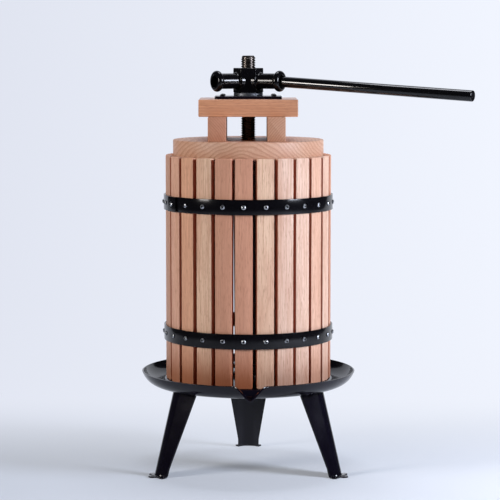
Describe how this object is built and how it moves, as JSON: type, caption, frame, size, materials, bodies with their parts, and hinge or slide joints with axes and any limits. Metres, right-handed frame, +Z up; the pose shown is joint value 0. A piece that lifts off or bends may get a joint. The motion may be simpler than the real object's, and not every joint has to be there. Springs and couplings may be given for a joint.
{
  "type": "fruit press",
  "caption": "Free-standing basket press for fruit: slatted wooden basket in a spouted drip tray on legs, with a fixed screw and a bar-turned nut that drives a wooden press head down.",
  "frame": {"origin": "on the floor, on the axis of the screw, at the centre of the three foot holes", "axes": "+Z up along the screw, -Y towards the spout and the front of the picture, +X to the right of it"},
  "size_m": [0.5413, 0.4045, 0.701],
  "materials": {
    "slat_beech": "planed beech, unvarnished",
    "head_beech": "planed beech, unvarnished",
    "black_paint": "semi-gloss black enamel",
    "black_cast_iron": "gloss black paint on a casting",
    "zinc_plate": "bright zinc",
    "screw_steel": "turned steel"
  },
  "bodies": {
    "base": {"drip_tray": "black_paint", "leg_left": "black_paint", "leg_right": "black_paint", "leg_rear": "black_paint", "leg_bolts": "zinc_plate", "leg_washers": "zinc_plate", "leg_nuts": "zinc_plate", "spindle": "screw_steel", "spindle_washer_upper": "zinc_plate", "spindle_nut_upper": "zinc_plate", "spindle_washer_lower": "zinc_plate", "spindle_nut_lower": "zinc_plate"},
    "basket": {"slat_01": "slat_beech", "slat_02": "slat_beech", "slat_03": "slat_beech", "slat_04": "slat_beech", "slat_05": "slat_beech", "slat_06": "slat_beech", "slat_07": "slat_beech", "slat_08": "slat_beech", "slat_09": "slat_beech", "slat_10": "slat_beech", "slat_11": "slat_beech", "slat_12": "slat_beech", "slat_13": "slat_beech", "slat_14": "slat_beech", "slat_15": "slat_beech", "slat_16": "slat_beech", "slat_17": "slat_beech", "slat_18": "slat_beech", "slat_19": "slat_beech", "slat_20": "slat_beech", "slat_21": "slat_beech", "slat_22": "slat_beech", "slat_23": "slat_beech", "slat_24": "slat_beech", "slat_25": "slat_beech", "hoop_upper": "black_paint", "hoop_lower": "black_paint", "hoop_screws_upper": "zinc_plate", "hoop_screws_lower": "zinc_plate"},
    "press_head": {"press_disc_front": "head_beech", "press_disc_rear": "head_beech", "spacer_bar_left": "head_beech", "spacer_bar_right": "head_beech", "pressure_beam": "head_beech", "head_plate": "black_paint", "plate_screws": "black_paint", "thrust_ring": "screw_steel"},
    "nut": {"press_nut": "black_cast_iron", "handle_bar": "black_paint"}
  },
  "joints": [
    {"name": "press_travel", "type": "slide", "parent": "base", "child": "press_head", "axis": [0, 0, 1], "range_m": [-0.0805, 0.0205]},
    {"name": "nut_turn", "type": "hinge", "parent": "press_head", "child": "nut", "pos_m": [0, 0, 0.639], "axis": [0, 0, 1], "range_deg": [-7200, 1800]},
    {"name": "basket_lift", "type": "slide", "parent": "base", "child": "basket", "axis": [0, 0, 1], "range_m": [0, 0.025]}
  ],
  "couplings": [
    {"joint": "press_travel", "follows": "nut_turn", "m_per_rad": 0.00063662}
  ]
}
